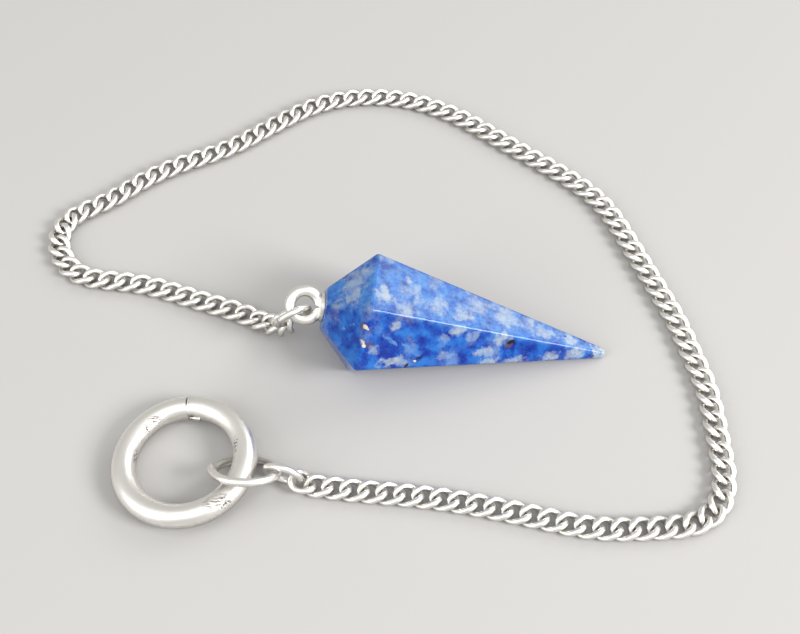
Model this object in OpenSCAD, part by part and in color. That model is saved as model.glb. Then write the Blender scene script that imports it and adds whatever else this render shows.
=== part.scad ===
// A dowsing pendulum: a six-sided stone point on a curb chain, with a ring to hold it by.
// Everything lies on a flat surface, as it was put down. The stone rests on one long facet and
// points along +X, and the origin is the middle of that facet. The chain leaves the stone's eye,
// runs round the stone and ends at the finger ring. Each piece hangs in the one before it, so a
// changed size moves all that follows. Angles are in degrees, and a turn to the left is positive.

/* [Stone] */
// Length from the widest line to the tip
tip_l = 32.6; // [24:0.2:38]
// Length from the widest line to the flat table
cap_l = 5.1; // [3.6:0.1:8]
// Width across the corners at the widest line
stone_w = 17.2; // [14.6:0.2:22]
// Width across the corners of the table
table_w = 6; // [5:0.2:9]
// How far the widest line leans along the stone, as a share of the width
girdle_lean = 0.07; // [0:0.01:0.12]
// Width of the blunt end of the tip
tip_w = 1.4; // [0.4:0.1:2.4]
// How far the tip lies to the near side of the stone's middle
tip_side = 0.8; // [-1:0.1:1.5]
// Room round the peg in its hole
peg_gap = 0.05; // [0.05:0.05:0.3]

/* [Eye] */
// Outer width of the loop
eye_d = 5.1; // [5:0.1:6.6]
// Thickness of the loop's wire
eye_wire = 1.4; // [0.9:0.1:1.5]
// How far the loop is turned about the stone's length
eye_turn = 35; // [0:5:45]
// Width of the collar under the loop
collar_d = 3.6; // [3:0.1:4.6]
// Thickness of the collar
collar_h = 0.4; // [0.3:0.1:1.2]
// How deep the loop's edge sits in the collar
eye_sink = 0.6; // [0.2:0.05:0.7]
// Gap between the collar and the table
collar_gap = 0.05; // [0.05:0.05:0.3]
// Thickness of the peg that holds the loop in the stone
peg_d = 1.5; // [1:0.1:2.2]
// Length of the peg
peg_l = 4.5; // [2:0.5:7]
// Width of the notch where the two ends of the loop's wire meet
notch_w = 1.6; // [0.4:0.1:2]

/* [Jump rings] */
// Outer width of the small jump rings
jump_d = 5.3; // [5:0.1:6.1]
// Thickness of the small jump rings' wire
jump_wire = 0.85; // [0.6:0.05:0.95]
// Outer width of the large jump ring
big_d = 9; // [8.8:0.1:11]
// Thickness of the large jump ring's wire
big_wire = 1.05; // [0.7:0.05:1.1]
// Width of the cut where a jump ring was closed
cut_w = 0.12; // [0.05:0.01:0.4]
// How far the large jump ring's ends are sprung apart
big_spring = 4; // [0:0.5:6]
// Clearance where one ring lies in another
hang_gap = 0.12; // [0.1:0.01:0.25]

/* [Chain] */
// Length that each link adds to the chain
link_pitch = 2.2; // [2:0.05:2.4]
// Outer width of a link
link_w = 3.2; // [3.05:0.05:3.4]
// Thickness of a link's wire
link_wire = 0.7; // [0.5:0.02:0.72]
// Play between two links that are pulled straight
link_gap = 0.28; // [0.22:0.01:0.32]
// Corners along a link's round
link_stations = 12; // [10:2:14]
// Sides of a link's wire
link_sides = 6; // [5:1:6]

/* [Finger ring] */
// Outer width of the finger ring
ring_d = 18; // [16.5:0.1:22]
// Thickness of the finger ring's wire
ring_wire = 3; // [2.4:0.1:3.3]
// Width of the seam where the ring was soldered
seam_w = 0.24; // [0.1:0.02:0.5]
// Width of the bead of solder left inside the ring
solder_d = 0.6; // [0.4:0.1:1]
// Length of the bead of solder
solder_l = 0.8; // [0.2:0.1:2]
// Where the seam is, round from +X
seam_angle = 92; // [0:1:359]
// Where the bead of solder starts
solder_angle = 81; // [0:1:359]

/* [Hidden] */
$fn = 64;
// Small overlap that makes a cut clean
eps = 0.01;
silver = [0.86, 0.85, 0.82];
lapis = [0.13, 0.27, 0.68];

// Stone: corners lie on two pyramids that share the widest line, so every facet is flat
stone_sides = 6;
stone_r = stone_w / 2;
table_r = table_w / 2;
cap_apex = cap_l / (1 - table_r / stone_r);
tip_share = tip_w / stone_w;
flat_r = stone_r * cos(180 / stone_sides);
// The apex slides along the resting facet's short edge, so that facet keeps its plane
edge = [girdle_lean, 1, 0];
apex_x = tip_l / (1 - tip_share);
tip_apex = [apex_x, 0, 0] - tip_side * edge;
// The stone's own frame has its length along X and the resting facet below
girdle = [for (i = [0 : stone_sides - 1]) let (a = i * 360 / stone_sides)
    [girdle_lean * stone_r * cos(a), stone_r * cos(a), stone_r * sin(a)]];
table = [for (g = girdle) let (t = (cap_apex - cap_l) / (cap_apex + g.x))
    [-cap_l, t * g.y, t * g.z]];
tip = [for (g = girdle) tip_apex + tip_share * (g - tip_apex)];
peg_hole_d = peg_d + 2 * peg_gap;
peg_hole_l = peg_l + 2 * peg_gap;
// The frame that lays the facet flat: along it, across it and up. Its middle is a third of the
// way to the tip
facet_foot = [0, 0, -flat_r];
facet_mid = facet_foot + ([apex_x, 0, 0] - facet_foot) / 3;
along = unit([apex_x, 0, 0] - facet_foot);
up = unit(cross(along, edge));
across = cross(up, along);

// Eye
eye_r = (eye_d - eye_wire) / 2;
collar_foot = cap_l + collar_gap;
eye_x = -(collar_foot + collar_h - eye_sink + eye_d / 2);
eye_near = [0, -cos(eye_turn), -sin(eye_turn)];
// Where the first jump ring lies on the loop, from its far side towards the near side
eye_hang = 48;
eye_point = lay([eye_x, 0, 0] + eye_r * (-cos(eye_hang) * [1, 0, 0] + sin(eye_hang) * eye_near));

// Jump rings: each hangs in the piece before it, and its plane is set by two directions.
// Two wires that cross aslant need more room than the clearance: ring on ring, ring on loop and
// link on ring
slant_room = 0.4;
eye_room = 0.16;
link_room = 0.3;
jump_r = (jump_d - jump_wire) / 2;
big_r = (big_d - big_wire) / 2;
// The first jump ring lies back from the loop: which way its lowest side points, and how steeply
stone_jump_head = 122;
stone_jump_slope = 68;
stone_jump_down = turned(stone_jump_head, stone_jump_slope);
stone_jump_side = turned(stone_jump_head - 90, 0);
stone_jump_mid = eye_point + (jump_r - (jump_wire + eye_wire) / 2 - hang_gap - eye_room) * stone_jump_down;
// Where each small jump ring's cut is, round from the direction that it hangs in
stone_cut_turn = 60;
ring_cut_turn = 70;
// How far inside a small jump ring's middle line a link's end lies
hook_r = jump_r - (jump_wire + link_wire) / 2 - hang_gap - link_room;

// Link: an oval whose plane turns through a quarter from one end to the other. It rests with its
// lowest wire on the surface
link_a = (link_pitch + link_wire + link_gap) / 2;
link_b = (link_w - link_wire) / 2;
link_twist = -50;
link_rest = max([for (t = [0 : 5 : 90]) abs(link_mid(t).z)]) + link_wire / 2 + eps;
// A joint that bends gives up this share of its length for each unit of 1 - cos(bend)
joint_slack = 0.24;

// Chain, from the first jump ring: it drops to the surface and runs along it
drop_head = 147;
// The first link is turned about its length so that it takes the ring, and the drop's last is not
drop_roll = -62;
// The steepest that the first link may hang, and how much of that each link of the drop may give
steepest = 76;
sharpest = 22;
// At 1 the drop bends evenly, and above it more near the surface than near the ring
drop_bend = 1;
chain_start = stone_jump_mid + hook_r * stone_jump_down;
drop_links = drop_count(1);
solve_tries = 20;
drop_slope = drop_solve(0, steepest, solve_tries);
// Stretches of the chain that bend evenly: how many links, and the turn at each
COUNT = 0;
TURN = 1;
ROUTE = [
    [1, 9],
    [1, 5],
    [1, 2],
    [3, -0.5],
    [1, 2.5],
    [2, 5],
    [1, 2.5],
    [1, -5],
    [1, -14],
    [1, -20],
    [1, -17],
    [1, -14],
    [1, -18],
    [2, -23.5],
    [1, -9.5],
    [1, 4],
    [1, 6.5],
    [1, 1],
    [2, -4.5],
    [2, -3.5],
    [1, -1.5],
    [1, 2],
    [2, 4.5],
    [1, 2.5],
    [3, -0.5],
    [1, -3.5],
    [4, -6.5],
    [1, -5],
    [4, -6],
    [4, -4],
    [1, -1],
    [4, 0.5],
    [2, -1],
    [1, -3],
    [1, -4.5],
    [3, -6.5],
    [1, -3.5],
    [6, 0],
    [1, -2.5],
    [2, -2.5],
    [2, 0.5],
    [3, -4],
    [3, -0.5],
    [1, -4],
    [1, -10],
    [1, -16],
    [1, -20.5],
    [1, -20],
    [1, -13],
    [1, -3.5],
    [2, -1],
    [3, -4.5],
    [1, -1.5],
    [4, 0.5],
    [4, 1.5],
    [3, 0],
    [3, -1.5]
];
turns = [for (row = ROUTE) for (i = [1 : row[COUNT]]) row[TURN]];
// The last link climbs to the small jump ring, which stands on its edge
rise_slope = -28;
heads = concat(
    [for (i = [1 : drop_links]) drop_head],
    [for (i = 0, h = drop_head + turns[0]; i < len(turns); i = i + 1, h = h + sum_at(turns, i)) h]
);
slopes = concat(drop_slopes(drop_slope, drop_links), [for (i = [2 : len(turns)]) 0], [rise_slope]);
rolls = concat(
    [for (i = [1 : drop_links]) drop_roll * (drop_links - i) / max(drop_links - 1, 1)],
    [for (t = turns) 0]
);
link_count = len(heads);
half_count = floor(link_count / 2);
last_link = link_count - 1;
ways = [for (i = [0 : last_link]) turned(heads[i], slopes[i])];
links = [for (i = 0, p = chain_start + link_a * ways[0]; i < link_count;
    i = i + 1, p = i < link_count ? p + step(ways[i - 1], ways[i]) : p) p];

// Large jump ring: its far side is under the finger ring and its near side is over it, so it
// tilts until the finger ring's wire has this room under it and over it
under_room = 0.2;
over_room = 0.9;
big_tilt = asin((ring_wire + big_wire + under_room + over_room) / (2 * big_r));
big_z = big_r * sin(big_tilt) + big_wire / 2;

// Small jump ring at the other end: it stands on its edge, turned a little from the last link,
// and leans to one side. A small one is held up by the large ring's wire
lean = 8;
catch_r = jump_r - (jump_wire + big_wire) / 2 - hang_gap - slant_room;
ring_jump_turn = -6;
ring_jump_head = heads[last_link] + ring_jump_turn;
ring_jump_way = turned(ring_jump_head, 0);
ring_jump_up = cos(lean) * [0, 0, 1] + sin(lean) * turned(ring_jump_head + 90, 0);
ring_jump_z = max(jump_r * cos(lean) + jump_wire / 2, big_z - catch_r * cos(lean));
end_hook = links[last_link] + link_a * ways[last_link];
hook_angle = asin((ring_jump_z - end_hook.z) / (hook_r * cos(lean)));
ring_jump_mid = end_hook + hook_r * (cos(hook_angle) * ring_jump_way + sin(hook_angle) * ring_jump_up);
catch_angle = asin((big_z - ring_jump_mid.z) / (catch_r * cos(lean)));

// The large jump ring is turned from the small one, and its wire lies in it
big_turn = 16.5;
big_head = ring_jump_head + big_turn;
big_way = turned(big_head, 0);
big_side = cos(big_tilt) * turned(big_head + 90, 0) + sin(big_tilt) * [0, 0, 1];
big_mid = ring_jump_mid + catch_r * (cos(catch_angle) * ring_jump_way + sin(catch_angle) * ring_jump_up)
    + big_r * big_way;

// Finger ring: one side rests on the surface, and the other lies on the large jump ring's far wire
ring_r = (ring_d - ring_wire) / 2;
ring_turn = -15;
ring_head = big_head + ring_turn;
// How far beyond the middle of the large jump ring the finger ring's wire lies
ring_reach = 0.4;
ring_tilt = asin((big_wire + under_room) / (2 * ring_r));
ring_way = turned(ring_head, ring_tilt);
ring_side = turned(ring_head + 90, 0);
ring_mid = [big_mid.x, big_mid.y, ring_wire / 2]
    + (ring_r + ring_reach) * cos(ring_tilt) * turned(ring_head, 0) + ring_r * sin(ring_tilt) * [0, 0, 1];

function unit(v) = v / norm(v);
function turned(head, slope) = [cos(head) * cos(slope), sin(head) * cos(slope), -sin(slope)];
function lay(p) = [along * (p - facet_mid), across * (p - facet_mid), up * (p - facet_mid)];
function sum_at(v, i) = i < len(v) ? v[i] : 0;
function link_mid(t) = let (phi = link_twist * cos(t))
    [link_a * cos(t), link_b * sin(t) * cos(phi), link_b * sin(t) * sin(phi)];
// From one link's middle to the next, when they lie along a and b
function step(a, b) = (a + b) * link_pitch / 2 * (1 - joint_slack * (1 - a * b));
function drop_slopes(s, n) = [for (i = [0 : n - 1]) s * (1 - pow(i / n, drop_bend))];
// Height of the first flat link after n links that start at slope s
function drop_end(s, n) = let (d = concat([for (a = drop_slopes(s, n)) turned(0, a)], [[1, 0, 0]]))
    chain_start.z + link_a * d[0].z + drop_sum(d, n);
function drop_sum(d, i) = i < 1 ? 0 : step(d[i - 1], d[i]).z + drop_sum(d, i - 1);
function drop_count(n) = drop_end(min(steepest, sharpest * n), n) <= link_rest ? n : drop_count(n + 1);
function drop_solve(low, high, tries) = let (mid = (low + high) / 2)
    tries == 0 ? mid
    : drop_end(mid, drop_links) > link_rest ? drop_solve(mid, high, tries - 1)
    : drop_solve(low, mid, tries - 1);

module stone_body() {
    points = concat(table, girdle, tip);
    n = stone_sides;
    table_face = [for (i = [0 : n - 1]) i];
    tip_face = [for (i = [n - 1 : -1 : 0]) 2 * n + i];
    cap_faces = [for (i = [0 : n - 1]) [i, n + i, n + (i + 1) % n, (i + 1) % n]];
    long_faces = [for (i = [0 : n - 1]) [n + i, 2 * n + i, 2 * n + (i + 1) % n, n + (i + 1) % n]];
    polyhedron(points, concat([table_face, tip_face], cap_faces, long_faces));
}

// Puts its children, drawn in a frame of three directions, where that frame is
module framed(x, y, z, place) {
    multmatrix([
        [x.x, y.x, z.x, place.x],
        [x.y, y.y, z.y, place.y],
        [x.z, y.z, z.z, place.z]
    ]) children();
}

// Lays the stone's own frame on its facet
module laid() {
    framed([along.x, across.x, up.x], [along.y, across.y, up.y], [along.z, across.z, up.z],
        -[along * facet_mid, across * facet_mid, up * facet_mid]) children();
}

module hoop(r, wire) {
    rotate_extrude() translate([r, 0]) circle(d = wire);
}

// A ring of wire that is cut at its far side from +X, where one end may be sprung aside
module cut_hoop(r, wire, cut, spring) {
    open = cut / r * 180 / PI;
    rotate_extrude(angle = 180 - open / 2) translate([r, 0]) circle(d = wire);
    translate([r, 0, 0]) rotate([180, spring, 0]) translate([-r, 0, 0])
        rotate_extrude(angle = 180 - open / 2) translate([r, 0]) circle(d = wire);
}

// A ring whose plane holds two directions at right angles, with its cut turned away from the first
module jump_ring(mid, x, y, r, wire, spring, cut_turn) {
    framed(x, y, cross(x, y), mid) rotate([0, 0, cut_turn]) cut_hoop(r, wire, cut_w, spring);
}

module link() {
    n = link_stations;
    m = link_sides;
    points = [for (j = [0 : n - 1]) let (
        t = j * 360 / n,
        tangent = unit(link_mid(t + 1) - link_mid(t - 1)),
        phi = link_twist * cos(t),
        out = unit(cross(tangent, [0, -sin(phi), cos(phi)])),
        side = cross(tangent, out)
    ) for (k = [0 : m - 1]) let (a = (k + 0.5) * 360 / m)
        link_mid(t) + link_wire / 2 * (cos(a) * out + sin(a) * side)];
    faces = [for (j = [0 : n - 1]) for (k = [0 : m - 1]) let (
        here = j * m,
        next = (j + 1) % n * m,
        k2 = (k + 1) % m
    ) each [[here + k, next + k, next + k2], [here + k, next + k2, here + k2]]];
    polyhedron(points, faces);
}

module chain(first, last) {
    for (i = [first : last])
        translate(links[i]) rotate([rolls[i], slopes[i], heads[i]]) link();
}

module stone() {
    color(lapis) laid() difference() {
        stone_body();
        translate([-cap_l - eps, 0, 0]) rotate([0, 90, 0]) cylinder(d = peg_hole_d, h = peg_hole_l + eps);
    }
}

module stone_eye() {
    color(silver) laid() {
        difference() {
            translate([eye_x, 0, 0]) rotate([eye_turn, 0, 0]) {
                difference() {
                    hoop(eye_r, eye_wire);
                    translate([eye_r, 0, 0]) notch();
                }
            }
            translate([-collar_foot, 0, 0]) rotate([0, 90, 0]) cylinder(d = eye_d, h = eye_wire);
        }
        translate([-collar_foot - collar_h, 0, 0]) rotate([0, 90, 0]) cylinder(d = collar_d, h = collar_h);
        translate([-collar_foot - eps, 0, 0]) rotate([0, 90, 0]) cylinder(d = peg_d, h = peg_l + collar_gap);
    }
}

// The notch where the two ends of the loop's wire meet
module notch() {
    translate([0, 0, -eye_wire]) linear_extrude(2 * eye_wire)
        polygon([[-eye_wire, -notch_w / 2], [0, 0], [-eye_wire, notch_w / 2]]);
}

module stone_jump_ring() {
    color(silver) jump_ring(stone_jump_mid, stone_jump_down, stone_jump_side, jump_r, jump_wire, 0, stone_cut_turn);
}

module chain_stone_half() {
    color(silver) chain(0, half_count - 1);
}

module chain_ring_half() {
    color(silver) chain(half_count, last_link);
}

module ring_jump_ring() {
    color(silver) jump_ring(ring_jump_mid, ring_jump_way, ring_jump_up, jump_r, jump_wire, 0, ring_cut_turn);
}

module large_jump_ring() {
    color(silver) jump_ring(big_mid, -big_way, -big_side, big_r, big_wire, big_spring, 0);
}

module finger_ring() {
    color(silver) framed(ring_way, ring_side, cross(ring_way, ring_side), ring_mid)
        rotate([0, 0, -ring_head]) {
            difference() {
                hoop(ring_r, ring_wire);
                rotate([0, 0, seam_angle]) translate([ring_r, 0, 0]) rotate([90, 0, 0])
                    hoop(ring_wire / 2, seam_w);
            }
            rotate([0, 0, solder_angle]) solder_bead(ring_r - ring_wire / 2);
        }
}

// A short arc of solder with round ends, on the ring's inner side
module solder_bead(r) {
    turn = solder_l / r * 180 / PI;
    rotate_extrude(angle = turn) translate([r, 0]) circle(d = solder_d);
    for (a = [0, turn]) rotate([0, 0, a]) translate([r, 0, 0]) sphere(d = solder_d);
}

stone();
stone_eye();
stone_jump_ring();
chain_stone_half();
chain_ring_half();
ring_jump_ring();
large_jump_ring();
finger_ring();
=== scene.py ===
"""Looks of a lapis lazuli pendulum that lies on a pale surface with its chain and finger ring."""

import math

import bmesh
import bpy
from bpy.props import FloatProperty, FloatVectorProperty, IntProperty, PointerProperty
from mathutils import Matrix, Vector


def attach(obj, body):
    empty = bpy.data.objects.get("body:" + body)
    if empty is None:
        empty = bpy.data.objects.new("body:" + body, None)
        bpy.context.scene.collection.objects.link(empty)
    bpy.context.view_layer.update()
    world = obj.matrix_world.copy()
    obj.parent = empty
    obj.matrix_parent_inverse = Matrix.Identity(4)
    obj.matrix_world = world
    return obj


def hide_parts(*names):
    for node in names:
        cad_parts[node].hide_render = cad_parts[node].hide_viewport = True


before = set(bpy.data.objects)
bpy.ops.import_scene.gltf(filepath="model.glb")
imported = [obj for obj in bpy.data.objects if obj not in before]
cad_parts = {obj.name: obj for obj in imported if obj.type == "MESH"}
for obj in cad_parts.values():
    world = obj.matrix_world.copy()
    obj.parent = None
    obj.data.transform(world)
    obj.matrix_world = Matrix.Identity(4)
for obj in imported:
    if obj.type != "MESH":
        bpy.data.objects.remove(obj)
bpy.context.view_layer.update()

bl_info = {
    "name": "Lapis pendulum",
    "version": (1, 0, 0),
    "blender": (4, 5, 0),
    "location": "3D View > Sidebar > Pendulum",
    "description": "Dresses the pendulum in polished stone and worn silver, on a pale stage",
    "category": "Object",
}

MM = 0.001
RINGS = ["stone_eye", "stone_jump_ring", "ring_jump_ring", "large_jump_ring", "finger_ring"]
CHAINS = ["chain_stone_half", "chain_ring_half"]
STONE = "polished lapis lazuli"
PLATE = "worn silver plate"

# Corners of a solid that are nearer than this are one, in metres
SAME_CORNER = 1e-7
# Triangles that turn less than this are parts of one facet
FLAT_TURN = math.radians(1)
# Edges that turn more than this are the stone's own. The wall of the peg's hole turns less.
FACET_TURN = math.radians(25)
# Steps of the polished round along a facet's edge
ROUND_STEPS = 6

# Where a spot starts and where it is full, inwards from its rim, as shares of its reach
SPOT_FADE = (-0.25, 0.6)
# Share of a streak's width that is as strong as its middle
VEIN_CORE = 0.3
# How deep the stone's faint unevenness looks
STONE_RELIEF = 0.02 * MM
# The silver's scratches are long along X and fine across it. The turn picks their pattern.
SCRATCH_TURN = (0, 0, math.radians(25))
SCRATCH_STRETCH = (0.5, 4, 4)

# Across this direction the stone is paler and more mottled, from the upper edge to the far side.
# The paleness is partly painted sheen of the bright sky on the upper facets, partly the stone's own
# mottling
PALE_AND_SHEEN_SIDE = (0.12, 0.85, 0.51)

# Places on the stone, in millimetres: the middle, how far it reaches, and how full a patch is.
# These are the grey patches, and the whitish tip, which is painted glare.
CALCITE_AND_GLARE_MARKS = [
    ((-6.3, -5.0, 11.7), (0.9, 0.9, 0.6), 0.8),
    ((-6.7, -7.3, 7.2), (1.9, 1.0, 0.8), 0.9),
    ((-5.4, -7.2, 6.7), (1.0, 0.8, 0.6), 0.7),
    ((-8.9, -6.9, 9.3), (0.9, 0.8, 0.6), 0.6),
    ((0.3, -5.4, 6.3), (1.6, 0.8, 0.6), 0.55),
    ((1.4, -3.6, 9.3), (1.2, 0.9, 0.7), 0.9),
    ((-0.1, -4.4, 8.7), (0.8, 0.8, 0.6), 0.5),
    ((3.4, -3.6, 8.0), (0.9, 0.8, 0.7), 0.6),
    ((7.2, -3.0, 6.7), (1.3, 1.0, 1.1), 0.95),
    ((5.4, -4.2, 5.5), (1.6, 1.0, 1.0), 0.9),
    ((6.1, -4.7, 4.1), (1.8, 0.9, 0.6), 0.9),
    ((8.9, -4.1, 3.3), (2.0, 0.9, 0.6), 0.8),
    ((13.7, -2.9, 2.6), (1.5, 0.9, 0.8), 0.9),
    ((17.2, -1.9, 2.3), (1.5, 1.2, 0.9), 0.95),
    # The whitish tip: painted glare, fuller than any patch
    ((22.2, -0.8, 1.2), (2.7, 2.4, 2.2), 1.7),
    ((-7.8, -1.9, 14.0), (1.3, 1.3, 1.2), 0.95),
    ((-11.4, -1.7, 13.1), (1.2, 1.3, 1.0), 0.75),
    ((-11.6, 0.7, 13.1), (2.1, 2.4, 1.5), 0.6),
    ((-4.7, 1.3, 12.7), (0.7, 0.9, 0.8), 0.8),
    ((-3.8, 0.1, 12.3), (0.7, 0.9, 0.8), 0.7),
    ((-0.9, -1.0, 11.0), (1.4, 1.4, 1.0), 0.75),
    ((2.2, -1.6, 9.6), (1.5, 1.0, 0.9), 0.9),
    ((7.8, 0.1, 7.2), (2.0, 1.6, 1.3), 0.8),
    ((13.0, -0.6, 4.9), (2.0, 1.0, 1.0), 0.85),
    ((16.4, -0.6, 3.4), (1.6, 0.9, 0.8), 0.85),
]

# The navy spots
DEEP_MARKS = [
    ((-6.0, -4.5, 12.4), (0.9, 0.6, 0.6)),
    ((-3.8, -4.3, 11.4), (0.8, 0.6, 0.7)),
    ((-13.8, -4.1, 9.6), (0.8, 0.8, 1.0)),
    ((-4.5, -5.4, 9.5), (0.7, 0.7, 0.6)),
    ((-6.8, -6.7, 8.5), (1.3, 0.7, 0.6)),
    ((-0.1, -5.2, 7.1), (0.7, 0.6, 0.5)),
    ((-2.4, -5.9, 7.4), (0.7, 0.6, 0.5)),
    ((-10.5, -8.0, 7.9), (0.8, 0.8, 0.7)),
    ((15.5, -2.1, 3.1), (0.8, 0.6, 0.6)),
    ((12.0, -3.4, 2.7), (0.9, 0.7, 0.6)),
]

# The brown rims of two gold specks and of a black chip
RUST_MARKS = [
    ((-10.4, -5.5, 12.3), (0.6, 0.6, 0.5)),
    ((-9.7, -6.8, 10.2), (0.9, 0.5, 0.5)),
    ((8.1, -3.3, 5.8), (0.7, 0.6, 0.6)),
]

# The gold specks
PYRITE_MARKS = [
    ((-9.9, -5.8, 12.3), (0.36, 0.5, 0.42)),
    ((-10.2, -6.8, 10.3), (0.3, 0.5, 0.45)),
    ((-3.5, -6.6, 6.6), (0.3, 0.4, 0.25)),
]

# The black chips
PIT_MARKS = [
    ((-3.3, -6.4, 6.9), (0.35, 0.5, 0.25)),
    ((-4.9, -7.0, 6.1), (0.28, 0.4, 0.35)),
    ((8.6, -2.9, 6.0), (0.7, 0.5, 0.35)),
]

# Thin pale lines, in millimetres: from where, to where, and how wide. The first two are veins; the
# third is a painted highlight along the edge between the crown facets
VEINS_AND_GLINT = [
    ((-7.9, -5.8, 11.0), (-6.1, -6.0, 9.4), 0.26),
    ((-6.0, -5.7, 9.9), (-3.7, -6.2, 7.5), 0.16),
    # A painted highlight along the edge between the crown facets
    ((-13.1, -4.5, 9.9), (-10.9, -4.8, 12.3), 0.16),
]

# Rough places on the finger ring, and the dark outer end of its soldered seam
WORN_MARKS = [
    ((-35.7, -14.0, 2.8), (1.2, 0.8, 0.8)),
    ((-36.7, -15.3, 2.6), (0.8, 1.2, 0.8)),
    ((-37.6, -18.7, 2.0), (0.5, 1.5, 0.7)),
    ((-25.4, -17.6, 3.8), (0.5, 1.4, 0.6)),
    ((-27.2, -25.6, 4.0), (1.4, 1.0, 0.8)),
    ((-26.0, -25.2, 3.7), (1.8, 1.4, 1.0)),
    ((-31.3, -13.3, 2.3), (1.3, 0.7, 0.8)),
]
SEAM_MARK = ((-32.15, -11.5, 3.3), (0.13, 0.8, 0.6))

# Soft square lights: the name, the place and the side in metres, and the power in watts
LIGHTS = [
    ("far window", (0.55, 0.47, 0.52), 0.5, 2.4),
    ("key window", (0.5, -0.235, 0.375), 0.24, 4.4),
    ("overhead", (-0.1, -0.25, 0.7), 0.7, 1.9),
    ("left fill", (-0.6, -0.35, 0.45), 0.5, 2.6),
]
LIT_POINT = Vector((-0.005, 0.005, 0))
# Width of the camera's sensor in millimetres, and the nearest and farthest that it sees in metres
SENSOR_WIDTH = 36
NEAREST, FARTHEST = 0.005, 20


def colour(name, description, default):
    """A colour that a user can change."""
    return FloatVectorProperty(
        name=name, description=description, subtype="COLOR", size=3, min=0, max=1, default=default
    )


def length(name, description, default):
    """A length that a user can change, in metres."""
    return FloatProperty(
        name=name, description=description, unit="LENGTH", min=0, precision=5, default=default
    )


def angle(name, description, degrees):
    """An angle that a user can change, with its default in degrees."""
    return FloatProperty(
        name=name, description=description, subtype="ANGLE", default=math.radians(degrees)
    )


class StoneLook(bpy.types.PropertyGroup):
    """Sizes and colours of the lapis lazuli point"""

    edge_round: length("Edge round", "Width of the polished round along each edge", 0.3 * MM)
    deep_blue: colour("Deep blue", "The navy spots", (0.001, 0.014, 0.22))
    royal_blue: colour("Royal blue", "The main blue of the stone", (0.002, 0.052, 0.34))
    sky_blue: colour("Sky blue", "The lightest blue, between the spots", (0.016, 0.13, 0.46))
    # Pale blue also paints the sheen on the upper side and the highlight along one crown edge
    pale_blue: colour("Pale blue", "The fine mottling and the thin veins", (0.1, 0.24, 0.47))
    # Calcite also paints the glare at the tip
    calcite: colour("Calcite", "The ragged grey patches and the tip", (0.34, 0.395, 0.43))
    pyrite: colour("Pyrite", "The gold specks", (0.8, 0.73, 0.58))
    rust: colour("Rust", "The brown rims of specks and chips", (0.1, 0.065, 0.04))
    pit: colour("Pit", "The black spots and chips", (0.006, 0.007, 0.01))
    cloud_size: length("Patch size", "How far apart the grey patches are", 3.4 * MM)
    spot_size: length("Spot size", "How far apart the blue spots are", 1.9 * MM)


class MetalLook(bpy.types.PropertyGroup):
    """Colours, wear and painted underside shade of the silver plate"""

    silver: colour("Silver", "The bright plate", (0.9, 0.88, 0.84))
    # Tarnish colours the worn places, and also paints shade on the undersides
    tarnish_and_shade: colour("Tarnish", "The dull film underneath and on worn places", (0.11, 0.092, 0.07))
    scratch: length("Scratch depth", "How deep the fine scratches look", 0.02 * MM)
    link_stretch: FloatProperty(
        name="Link stretch",
        description="How much larger a link's cage is than the link's solid",
        default=1.045,
    )
    link_fill: length("Link fill", "How much thicker the cage of a link's wire is", 0.11 * MM)
    levels: IntProperty(
        name="Smoothing",
        description="Subdivision levels of the chain's links",
        min=0,
        max=3,
        default=2,
    )


class StageLook(bpy.types.PropertyGroup):
    """The surface, the light from all sides and the camera"""

    floor: colour("Floor", "The plain surface", (0.43, 0.42, 0.41))
    reach: length("Floor size", "Half the width of the surface", 2.0)
    room: colour("Room", "Colour of the light from all sides", (0.82, 0.81, 0.79))
    room_light: FloatProperty(
        name="Room light", description="Strength of the light from all sides", min=0, default=0.68
    )
    lens: FloatProperty(
        name="Lens", description=f"Focal length on a {SENSOR_WIDTH} mm sensor", default=51.75
    )
    look_down: angle("Look down", "Camera's angle below level", 55.38)
    roll: angle("Roll", "Camera's turn about its view", 1.65)
    eye: FloatVectorProperty(
        name="Camera place",
        description="Where the camera stands",
        subtype="TRANSLATION",
        unit="LENGTH",
        size=3,
        precision=5,
        default=(-5.79 * MM, -83.84 * MM, 128.06 * MM),
    )


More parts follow.
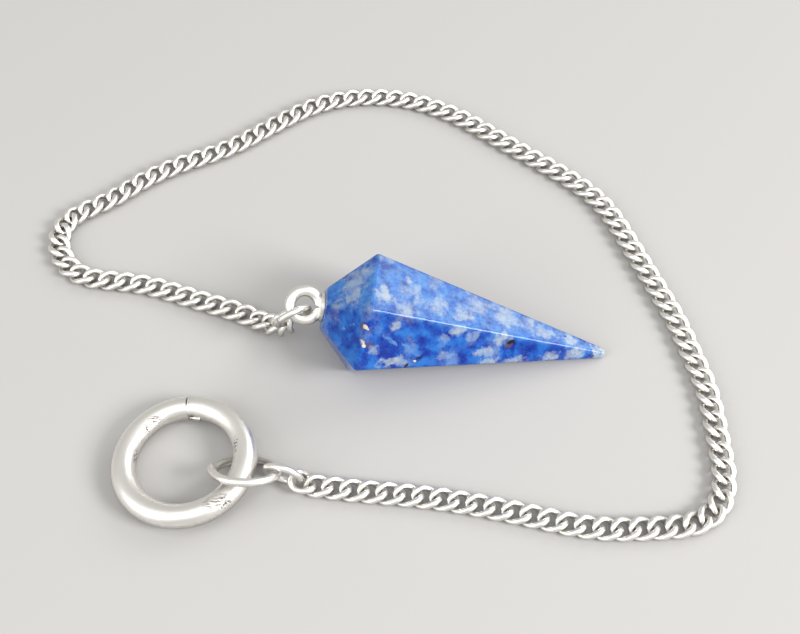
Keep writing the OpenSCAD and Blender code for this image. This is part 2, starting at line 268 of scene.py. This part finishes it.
class Wire:
    """A socket of a node tree. Its operators add Math nodes, and node() adds any other."""

    def __init__(self, tree, socket=None):
        self.tree = tree
        self.socket = socket

    def node(self, kind, settings=None, inputs=None, out=None):
        """Adds a node: its settings first, then the values or links of its sockets."""
        made = self.tree.nodes.new(kind)
        for name, value in (settings or {}).items():
            if name == "stops":
                ramp = made.color_ramp
                while len(ramp.elements) < len(value):
                    ramp.elements.new(1)
                for stop, (place, shade) in zip(ramp.elements, value):
                    stop.position = place
                    stop.color = (*shade, 1)
            else:
                setattr(made, name, value)
        for name, value in (inputs or {}).items():
            socket = self.find(made.inputs, name)
            if isinstance(value, Wire):
                self.tree.links.new(value.socket, socket)
            elif hasattr(value, "__len__"):
                size = len(socket.default_value)
                socket.default_value = (*value, 1)[:size]
            else:
                socket.default_value = value
        return Wire(self.tree, self.find(made.outputs, out))

    @staticmethod
    def find(sockets, name):
        """The socket in use that has a name, or that stands at a number."""
        live = [s for s in sockets if s.enabled]
        if name is None or isinstance(name, int):
            return live[name or 0]
        return next(s for s in live if s.name == name)

    def math(self, operation, *values, clamp=False):
        """A Math node of these values, the wire's own first."""
        inputs = dict(enumerate((self, *values)))
        return self.node("ShaderNodeMath", {"operation": operation, "use_clamp": clamp}, inputs)

    def __add__(self, other):
        return self.math("ADD", other)

    __radd__ = __add__

    def __mul__(self, other):
        return self.math("MULTIPLY", other)

    __rmul__ = __mul__

    def __sub__(self, other):
        return self.math("SUBTRACT", other)

    def __rsub__(self, other):
        return self.node("ShaderNodeMath", {"operation": "SUBTRACT"}, {0: other, 1: self})

    def between(self, low, high):
        """0 below low, 1 above high and a soft step from one to the other."""
        return self.node(
            "ShaderNodeMapRange",
            {"interpolation_type": "SMOOTHSTEP"},
            {"Value": self, "From Min": low, "From Max": high},
        )

    def vector(self, operation, *values, out=None):
        """A Vector Math node of these values, the wire's own first."""
        inputs = dict(enumerate((self, *values)))
        return self.node("ShaderNodeVectorMath", {"operation": operation}, inputs, out)

    def bump(self, strength, depth):
        """The surface's normal with this height on it."""
        inputs = {"Strength": strength, "Distance": depth, "Height": self}
        return self.node("ShaderNodeBump", {}, inputs, "Normal")


def mixed(base, over, mask):
    """Base with another colour over it where the mask is 1."""
    return mask.node("ShaderNodeMix", {"data_type": "RGBA"}, {"Factor": mask, "A": base, "B": over})


def noise(place, scale, detail, rough=0.55, out="Fac"):
    """Cloudy noise, with scale in waves to a millimetre."""
    inputs = {"Vector": place, "Scale": scale, "Detail": detail, "Roughness": rough}
    return place.node("ShaderNodeTexNoise", {}, inputs, out)


def cells(place, scale):
    """How far it is to the middle of the nearest cell, with scale in cells to a millimetre."""
    return place.node("ShaderNodeTexVoronoi", {}, {"Vector": place, "Scale": scale}, "Distance")


def in_millimetres(tree, turn=(0, 0, 0), stretch=(1, 1, 1)):
    """Object coordinates in millimetres, stretched for a pattern that runs one way, then turned."""
    start = Wire(tree).node("ShaderNodeTexCoord", out="Object")
    scale = [share / MM for share in stretch]
    return start.node("ShaderNodeMapping", {}, {"Vector": start, "Rotation": turn, "Scale": scale})


def warped(place, scale, reach, detail=2.0):
    """The place moved about by up to half the reach, in millimetres, for ragged shapes."""
    drift = noise(place, scale, detail, out="Color").vector("SUBTRACT", (0.5, 0.5, 0.5))
    return drift.vector("MULTIPLY_ADD", (reach, reach, reach), place)


def strongest(masks):
    """The masks laid over each other."""
    total = masks[0]
    for mask in masks[1:]:
        total = total.math("MAXIMUM", mask)
    return total


def spot(place, ragged, centre, reach):
    """1 at a place on the piece, and 0 outside its ragged rim. All sizes are in millimetres."""
    away = place.vector("SUBTRACT", centre).vector("DIVIDE", reach)
    return (ragged - away.vector("LENGTH", out="Value")).between(*SPOT_FADE)


def marked(place, ragged, marks):
    """The spots at these marks, each as full as its mark says, or else full."""
    masks = []
    for centre, reach, *fill in marks:
        mask = spot(place, ragged, centre, reach)
        masks.append(mask * fill[0] if fill else mask)
    return strongest(masks)


def pale_streak(place, start, end, width):
    """1 along a straight thin streak from its start to its end, in millimetres."""
    way = Vector(end) - Vector(start)
    away = place.vector("SUBTRACT", start)
    share = away.vector("DOT_PRODUCT", way / way.length_squared, out="Value")
    share = share.math("ADD", 0.0, clamp=True)
    along = share.node("ShaderNodeVectorMath", {"operation": "SCALE"}, {0: way, "Scale": share})
    off = away.vector("SUBTRACT", along).vector("LENGTH", out="Value")
    return 1 - off.between(width * VEIN_CORE, width)


def new_material(name):
    """A new material, with its node tree and its surface shader."""
    material = bpy.data.materials.new(name)
    material.use_nodes = True
    tree = material.node_tree
    tree.nodes.clear()
    shader = tree.nodes.new("ShaderNodeBsdfPrincipled")
    output = tree.nodes.new("ShaderNodeOutputMaterial")
    tree.links.new(shader.outputs["BSDF"], output.inputs["Surface"])
    return material, tree, shader


def plug(tree, shader, **wires):
    """Links wires, or sets values, on the shader's sockets."""
    for name, value in wires.items():
        socket = shader.inputs[name.replace("_", " ")]
        if isinstance(value, Wire):
            tree.links.new(value.socket, socket)
        else:
            socket.default_value = value


def lapis(look):
    """Polished lapis lazuli: blue spots, ragged grey calcite, fine veins, gold specks and chips,
    with painted sheen on the upper side, a painted highlight along one crown edge and painted glare
    at the tip.
    """
    material, tree, shader = new_material(STONE)
    place = in_millimetres(tree)
    bent = warped(place, 0.45, 1.3)
    torn = warped(place, 0.8, 1.8, 3)
    grain = noise(place, 1.0, 4, 0.62)
    flour = noise(place, 3.2, 3, 0.6).between(0.35, 0.65)
    ragged = 1.0 + (noise(place, 1.1, 4, 0.6) - 0.5) * 2.6

    spots = noise(bent, MM / look.spot_size, 4, 0.6)
    blues = [(0.38, look.deep_blue), (0.48, look.royal_blue), (0.62, look.sky_blue)]
    body = spots.node("ShaderNodeValToRGB", {"stops": blues}, {"Fac": spots}, "Color")
    body = mixed(body, look.deep_blue, marked(torn, ragged, DEEP_MARKS) * 0.7)

    # Painted sheen and real mottling: the stone is paler and more mottled towards the upper, far
    # side
    across = place.vector("DOT_PRODUCT", PALE_AND_SHEEN_SIDE, out="Value")
    side = (across + (noise(place, 0.5, 2) - 0.5) * 1.2).between(1.7, 2.7)
    mottle_and_sheen = (side * 0.46 + 0.05) * grain.between(0.38, 0.66) + side * 0.16 + flour * 0.06
    body = mixed(body, look.pale_blue, mottle_and_sheen)

    clouds = noise(bent, MM / look.cloud_size, 5, 0.6).between(0.5, 0.68) * (side * 0.4 + 0.35)
    # Grey calcite patches and clouds, with the painted glare at the tip
    pale = marked(torn, ragged, CALCITE_AND_GLARE_MARKS).math("MAXIMUM", clouds)
    pale = pale * (0.55 + grain.between(0.4, 0.6) * 0.25 + flour * 0.2)
    body = mixed(body, look.calcite, pale)

    # Two pale veins, and the painted highlight along a crown edge
    waved = warped(place, 0.8, 1.1)
    veins = strongest([pale_streak(waved, *run) for run in VEINS_AND_GLINT])
    body = mixed(body, look.pale_blue, veins * noise(place, 1.2, 2).between(0.3, 0.55) * 0.8)

    body = mixed(body, look.rust, marked(torn, ragged, RUST_MARKS) * 0.75)
    flecks = (1 - cells(bent, 0.45).between(0.06, 0.1)) * noise(place, 0.25, 1).between(0.6, 0.66)
    flecks = (flecks * side).math("MAXIMUM", marked(torn, ragged, PYRITE_MARKS))
    body = mixed(body, look.pyrite, flecks)

    pits = (1 - cells(place, 0.4).between(0.04, 0.09)) * noise(place, 0.4, 1).between(0.5, 0.56)
    pits = pits.math("MAXIMUM", marked(torn, ragged, PIT_MARKS))
    body = mixed(body, look.pit, pits)

    polish = 0.12 + pale * 0.08 + pits * 0.35 + noise(place, 2.5, 3) * 0.05
    relief = noise(place, 0.5, 2) * 0.5 + noise(place, 5.0, 2) * 0.05 - pits * 1.6
    plug(
        tree,
        shader,
        Base_Color=body,
        Roughness=polish,
        Metallic=flecks * 0.4,
        Normal=relief.bump(0.4, STONE_RELIEF),
        IOR=1.5,
        Specular_IOR_Level=0.26,
    )
    return material


def silver(look):
    """Worn silver plate: bright on top, finely scratched, with painted shade underneath and rough
    in places.
    """
    material, tree, shader = new_material(PLATE)
    place = in_millimetres(tree)
    along = in_millimetres(tree, SCRATCH_TURN, SCRATCH_STRETCH)
    film = noise(place, 0.35, 4, 0.6).between(0.52, 0.74)
    ragged = 1.15 - noise(place, 1.6, 4, 0.65) * 0.6
    rough = marked(place, ragged, WORN_MARKS) * noise(along, 1.4, 3).between(0.42, 0.56)
    worn = strongest([noise(place, 1.4, 5, 0.7).between(0.64, 0.74) * 0.7, rough])
    scratches = noise(along, 2.2, 3, 0.7)
    # Painted shade: the plate is darker where it faces downwards
    facing = Wire(tree).node("ShaderNodeTexCoord", out="Normal")
    upward = facing.vector("DOT_PRODUCT", (0, 0, 1), out="Value")
    painted_underside_shade = 1 - (upward + (noise(along, 1.2, 3) - 0.5) * 0.7).between(-0.25, 0.6)
    seam = spot(place, 1.0, *SEAM_MARK)
    # Dull places: random film, real wear, the seam's dark end, and the painted underside shade
    dull = strongest([film * 0.15, worn * 0.95, painted_underside_shade * 0.55, seam])
    relief = scratches * 0.8 + noise(place, 0.6, 2) * 1.4 - worn * 1.2
    plug(
        tree,
        shader,
        Base_Color=mixed(look.silver, look.tarnish_and_shade, dull),
        Roughness=0.34 + film * 0.12 + worn * 0.2 + scratches * 0.06,
        Metallic=1.0,
        Normal=relief.bump(0.6, look.scratch),
    )
    return material


def plate(context):
    """The silver that all the metal pieces share."""
    return bpy.data.materials.get(PLATE) or silver(context.scene.pendulum_metal)


def merged_copy(node):
    """A bmesh of a CAD node, with its loose triangles joined at their corners."""
    shape = bmesh.new()
    shape.from_mesh(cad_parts[node].data)
    bmesh.ops.remove_doubles(shape, verts=shape.verts, dist=SAME_CORNER)
    if not shape.faces:
        raise RuntimeError(f"{node} has no faces")
    return shape


def rounded_out(shape, stretch, fill):
    """Makes each link's cage larger and its wire thicker, because smoothing draws both in."""
    left = set(shape.verts)
    for start in shape.verts[:]:
        if start not in left:
            continue
        left.remove(start)
        link = [start]
        for corner in link:
            for side in corner.link_edges:
                other = side.other_vert(corner)
                if other in left:
                    left.remove(other)
                    link.append(other)
        middle = sum((corner.co for corner in link), Vector()) / len(link)
        to_middle = Matrix.Translation(-middle)
        bmesh.ops.scale(shape, vec=(stretch, stretch, stretch), space=to_middle, verts=link)
    shape.normal_update()
    for corner in shape.verts:
        corner.co += corner.normal * fill


def piece(shape, name, material, slot, *nodes):
    """Turns a bmesh into a smooth piece that stands for CAD nodes and rides on the pendulum."""
    bmesh.ops.recalc_face_normals(shape, faces=shape.faces)
    for face in shape.faces:
        face.smooth = True
    mesh = bpy.data.meshes.new(name)
    shape.to_mesh(mesh)
    shape.free()
    mesh.materials.append(material)
    made = bpy.data.objects.new(name, mesh)
    bpy.context.scene.collection.objects.link(made)
    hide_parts(*nodes)
    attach(made, "root")
    return made


class PENDULUM_OT_stage(bpy.types.Operator):
    """Lay the plain surface, hang the soft lights and stand the camera"""

    bl_idname = "pendulum.stage"
    bl_label = "Stage"

    def execute(self, context):
        look = context.scene.pendulum_stage
        self.surface(context, look)
        for name, place, side, power in LIGHTS:
            self.light(context, name, place, side, power)
        self.room(context, look)
        self.camera(context, look)
        return {"FINISHED"}

    def surface(self, context, look):
        """The plain surface that the pendulum lies on."""
        shape = bmesh.new()
        bmesh.ops.create_grid(shape, x_segments=1, y_segments=1, size=look.reach)
        mesh = bpy.data.meshes.new("surface")
        shape.to_mesh(mesh)
        shape.free()
        floor = bpy.data.objects.new("surface", mesh)
        context.scene.collection.objects.link(floor)
        material, tree, shader = new_material("plain surface")
        plug(tree, shader, Base_Color=(*look.floor, 1), Roughness=0.85)
        mesh.materials.append(material)

    def light(self, context, name, place, side, power):
        """A soft square light that faces the pendulum."""
        data = bpy.data.lights.new(name, "AREA")
        data.size = side
        data.energy = power
        lamp = bpy.data.objects.new(name, data)
        lamp.location = place
        lamp.rotation_euler = (LIT_POINT - Vector(place)).to_track_quat("-Z", "Y").to_euler()
        context.scene.collection.objects.link(lamp)

    def room(self, context, look):
        """The even light from all sides, with colours shown as they are."""
        world = bpy.data.worlds.new("pale room")
        world.use_nodes = True
        sky = world.node_tree.nodes["Background"].inputs
        sky["Color"].default_value = (*look.room, 1)
        sky["Strength"].default_value = look.room_light
        context.scene.world = world
        context.scene.view_settings.view_transform = "Standard"

    def camera(self, context, look):
        """The camera, where the photograph's stood."""
        data = bpy.data.cameras.new("camera")
        data.lens = look.lens
        data.sensor_width = SENSOR_WIDTH
        data.clip_start = NEAREST
        data.clip_end = FARTHEST
        camera = bpy.data.objects.new("camera", data)
        tilt = Matrix.Rotation(math.radians(90) - look.look_down, 4, "X")
        roll = Matrix.Rotation(look.roll, 4, "Z")
        camera.matrix_world = Matrix.Translation(look.eye) @ tilt @ roll
        context.scene.collection.objects.link(camera)
        context.scene.camera = camera


class PENDULUM_OT_stone(bpy.types.Operator):
    """Cut the lapis lazuli point with softly polished edges"""

    bl_idname = "pendulum.stone"
    bl_label = "Lapis point"

    def execute(self, context):
        look = context.scene.pendulum_stone
        shape = merged_copy("stone")
        bmesh.ops.dissolve_limit(
            shape, angle_limit=FLAT_TURN, verts=shape.verts, edges=shape.edges
        )
        # The rims of the peg's hole stay sharp, because their edges are short
        facet_edges = [
            edge
            for edge in shape.edges
            if edge.calc_length() > 2 * look.edge_round
            and edge.is_manifold
            and edge.calc_face_angle() > FACET_TURN
        ]
        bmesh.ops.bevel(
            shape,
            geom=facet_edges,
            offset=look.edge_round,
            offset_type="OFFSET",
            affect="EDGES",
            segments=ROUND_STEPS,
            profile=0.5,
            material=-1,
        )
        made = piece(shape, "lapis_point", lapis(look), "lapis", "stone")
        made.modifiers.new("flat facets", "WEIGHTED_NORMAL").keep_sharp = True
        return {"FINISHED"}


class PENDULUM_OT_chain(bpy.types.Operator):
    """Round the curb links of both halves of the chain"""

    bl_idname = "pendulum.chain"
    bl_label = "Curb chain"

    def execute(self, context):
        look = context.scene.pendulum_metal
        for node in CHAINS:
            shape = merged_copy(node)
            bmesh.ops.join_triangles(
                shape,
                faces=shape.faces,
                angle_face_threshold=math.pi,
                angle_shape_threshold=math.pi,
            )
            rounded_out(shape, look.link_stretch, look.link_fill)
            made = piece(shape, node.replace("chain", "links"), plate(context), "silver", node)
            smooth = made.modifiers.new("round wire", "SUBSURF")
            smooth.levels = smooth.render_levels = look.levels
        return {"FINISHED"}


class PENDULUM_OT_rings(bpy.types.Operator):
    """Finish the stone's eye, the jump rings and the finger ring"""

    bl_idname = "pendulum.rings"
    bl_label = "Eye and rings"

    def execute(self, context):
        for node in RINGS:
            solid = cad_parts[node]
            solid.data.materials.clear()
            solid.data.materials.append(plate(context))
        return {"FINISHED"}


STEPS = (PENDULUM_OT_stage, PENDULUM_OT_stone, PENDULUM_OT_chain, PENDULUM_OT_rings)
GROUPS = {"pendulum_stone": StoneLook, "pendulum_metal": MetalLook, "pendulum_stage": StageLook}


class PENDULUM_PT_sidebar(bpy.types.Panel):
    """The pendulum's pieces, one button for each"""

    bl_idname = "PENDULUM_PT_sidebar"
    bl_label = "Pendulum"
    bl_space_type = "VIEW_3D"
    bl_region_type = "UI"
    bl_category = "Pendulum"

    def draw(self, context):
        for step in STEPS:
            self.layout.operator(step.bl_idname)
        for name in GROUPS:
            box = self.layout.box()
            group = getattr(context.scene, name)
            for key in group.bl_rna.properties.keys():
                if key not in ("rna_type", "name"):
                    box.prop(group, key)


def register():
    for kind in (*GROUPS.values(), *STEPS, PENDULUM_PT_sidebar):
        bpy.utils.register_class(kind)
    for name, group in GROUPS.items():
        setattr(bpy.types.Scene, name, PointerProperty(type=group))


def unregister():
    for name in GROUPS:
        delattr(bpy.types.Scene, name)
    for kind in (PENDULUM_PT_sidebar, *reversed(STEPS), *GROUPS.values()):
        bpy.utils.unregister_class(kind)


def main():
    register()
    bpy.ops.pendulum.stage()
    bpy.ops.pendulum.stone()
    bpy.ops.pendulum.chain()
    bpy.ops.pendulum.rings()


if __name__ == "__main__":
    main()
